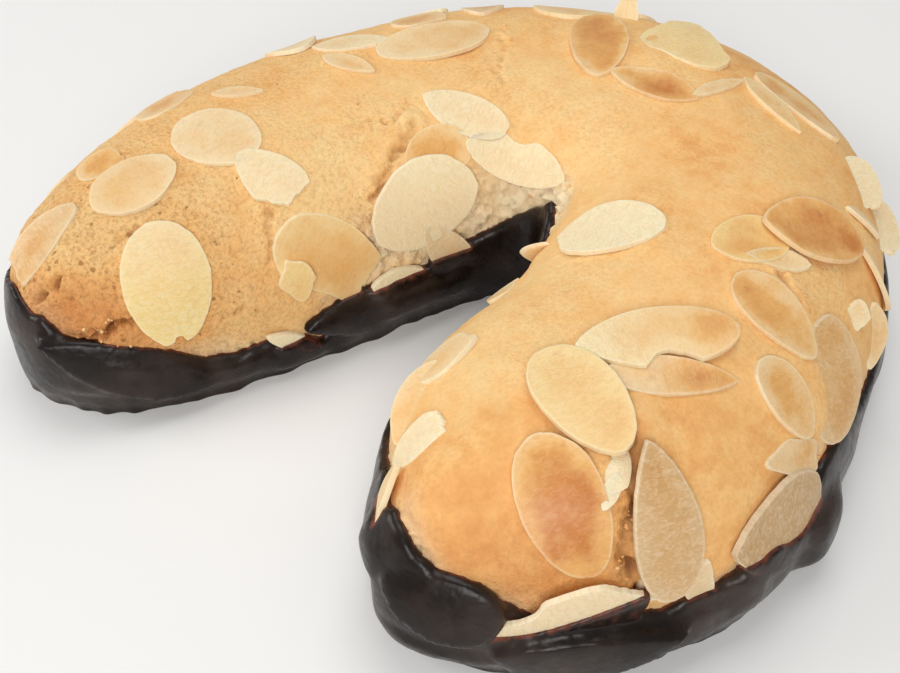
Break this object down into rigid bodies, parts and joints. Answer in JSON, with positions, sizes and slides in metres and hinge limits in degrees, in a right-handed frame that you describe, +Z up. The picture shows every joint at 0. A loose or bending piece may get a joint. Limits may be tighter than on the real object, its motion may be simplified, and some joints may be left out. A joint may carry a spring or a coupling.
{
  "type": "almond horn biscuit",
  "caption": "Crescent-shaped almond biscuit under toasted almond flakes, its flat foot and lower sides dipped in dark chocolate.",
  "frame": {"origin": "middle of the footprint, on the surface that the horn lies on", "axes": "+Z up through the horn's thickness; the two tips point towards -Y and the bend is at +Y"},
  "size_m": [0.122, 0.1189, 0.0325],
  "materials": {
    "baked_dough": "baked almond dough, matt and slightly crumbly, with toasted almond flakes",
    "dark_chocolate": "set dark chocolate, soft gloss"
  },
  "bodies": {
    "root": {"dough": "baked_dough", "chocolate": "dark_chocolate"}
  },
  "joints": []
}
